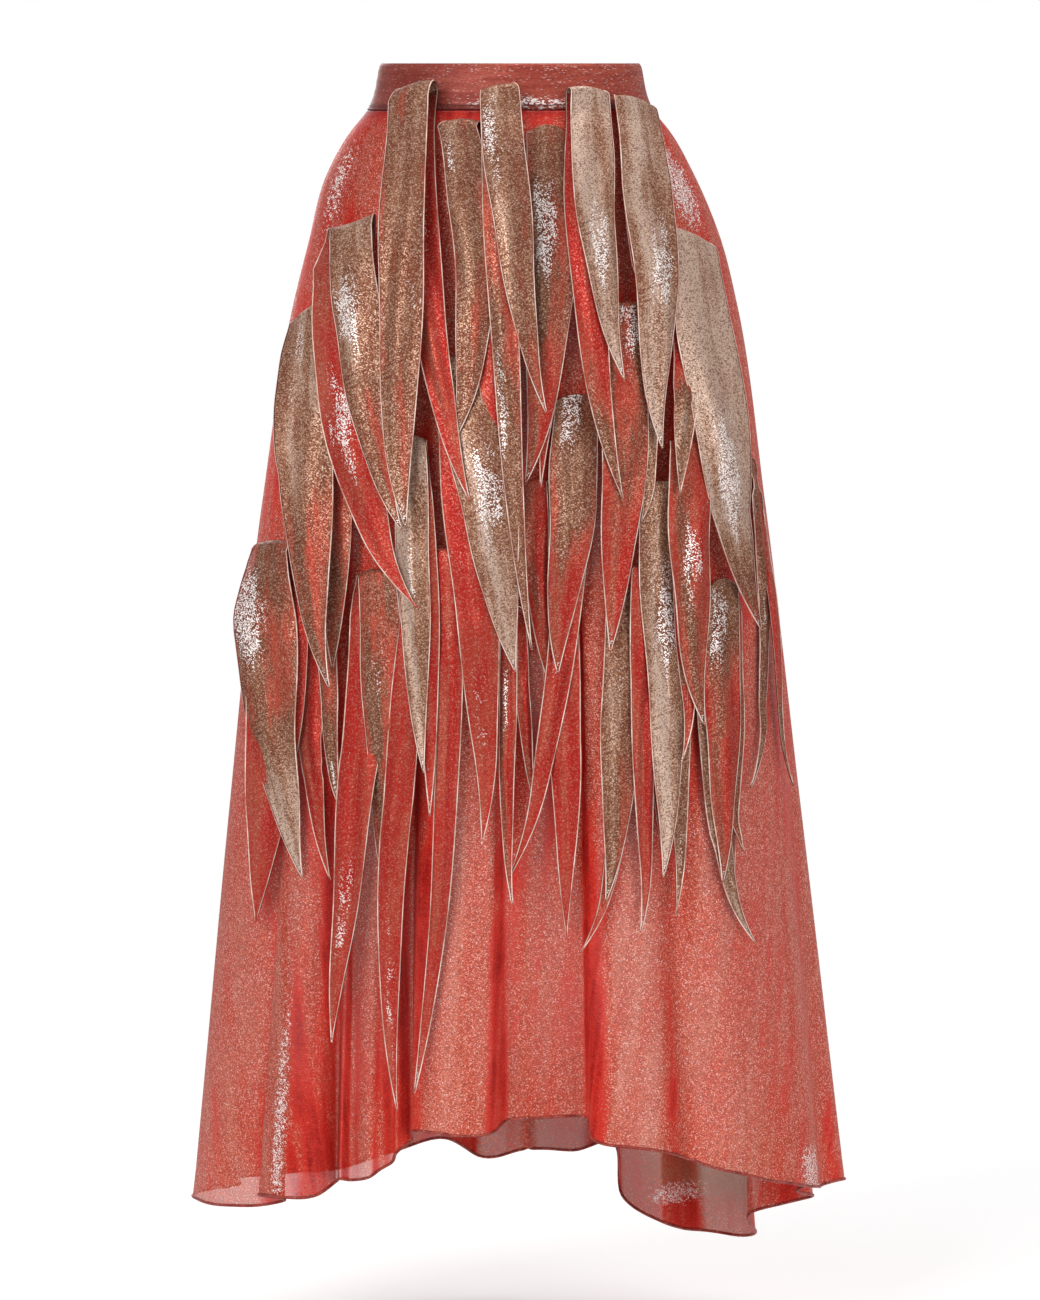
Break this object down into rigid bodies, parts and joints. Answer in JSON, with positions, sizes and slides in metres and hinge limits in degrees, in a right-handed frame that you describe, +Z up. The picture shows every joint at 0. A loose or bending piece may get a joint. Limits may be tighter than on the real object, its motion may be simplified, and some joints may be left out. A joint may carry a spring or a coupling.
{
  "type": "fringe midi skirt",
  "caption": "Sheer metallic organza A-line skirt with a fitted waistband, a wavy dipped hem, and rows of folded, pointed leaf strips; worn form with no wearer.",
  "frame": {"origin": "centre of the waistband's top opening, where the wearer's waist holds the skirt", "axes": "+Z up, -Y the front of the skirt, +X the wearer's left side, which is the viewer's right"},
  "size_m": [0.5636, 0.4062, 1.0424],
  "materials": {
    "cloth": "sheer coral organza with a metallic glint",
    "strip": "champagne and coral metallic organza, rolled edges",
    "metal": "satin, painted to match the cloth"
  },
  "bodies": {
    "skirt": {"back_back_a": "strip", "back_back_b": "strip", "back_back_c": "strip", "back_back_d": "strip", "back_back_e": "strip", "back_hip_left": "strip", "back_hip_right": "strip", "back_left_panel": "cloth", "back_low_a": "strip", "back_low_b": "strip", "back_low_c": "strip", "back_low_d": "strip", "back_right_panel": "cloth", "back_side_left": "strip", "back_side_right": "strip", "back_waist_a": "strip", "back_waist_b": "strip", "back_waist_c": "strip", "back_waist_d": "strip", "back_waist_e": "strip", "front_front_a": "strip", "front_front_b": "strip", "front_front_c": "strip", "front_front_d": "strip", "front_front_e": "strip", "front_front_f": "strip", "front_front_g": "strip", "front_front_h": "strip", "front_hip_left": "strip", "front_hip_right": "strip", "front_knee_left": "strip", "front_low_a": "strip", "front_low_b": "strip", "front_low_c": "strip", "front_low_d": "strip", "front_low_e": "strip", "front_low_f": "strip", "front_low_g": "strip", "front_panel": "cloth", "front_side_left": "strip", "front_side_right": "strip", "front_waist_a": "strip", "front_waist_b": "strip", "front_waist_c": "strip", "front_waist_d": "strip", "front_waist_e": "strip", "front_waist_f": "strip", "waistband": "cloth", "zip_slider": "metal", "zip_tape": "cloth"},
    "pull": {"zip_pull": "metal"}
  },
  "joints": [
    {"name": "pull_swing", "type": "hinge", "parent": "skirt", "child": "pull", "pos_m": [0, 0.09289, -0.00509], "axis": [1, 0, 0], "range_deg": [0, 150]}
  ]
}
